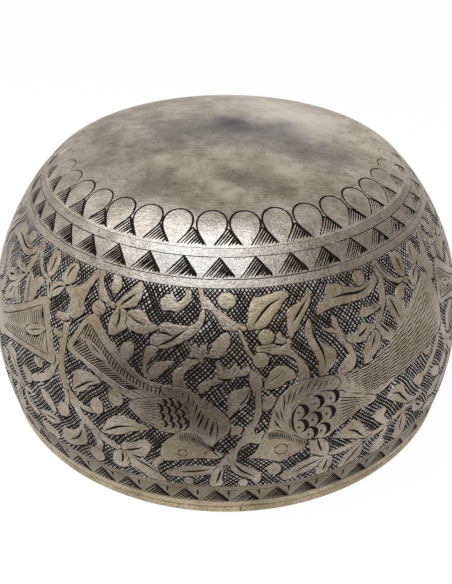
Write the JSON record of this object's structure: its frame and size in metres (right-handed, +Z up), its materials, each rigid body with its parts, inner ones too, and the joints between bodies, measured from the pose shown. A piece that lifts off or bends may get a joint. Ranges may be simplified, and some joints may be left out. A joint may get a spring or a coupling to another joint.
{
  "type": "offering bowl",
  "caption": "Raised round-bottomed metal offering bowl with engraved borders, a hatched frieze of birds and leaves, and a wire-stiffened rim, standing on its mouth.",
  "frame": {"origin": "centre of the mouth, on the plane that the rim stands on", "axes": "+Z up the bowl's axis, from the mouth to the crown of the domed base: the bowl stands on its mouth, as pictured; -Y is the side that faces the camera"},
  "size_m": [0.12, 0.12, 0.0625],
  "materials": {
    "silver": "satin",
    "solder": "satin"
  },
  "bodies": {
    "root": {"bowl_body": "silver", "rim_wire": "silver", "rim_solder": "solder", "rim_joint_solder": "solder"}
  },
  "joints": []
}
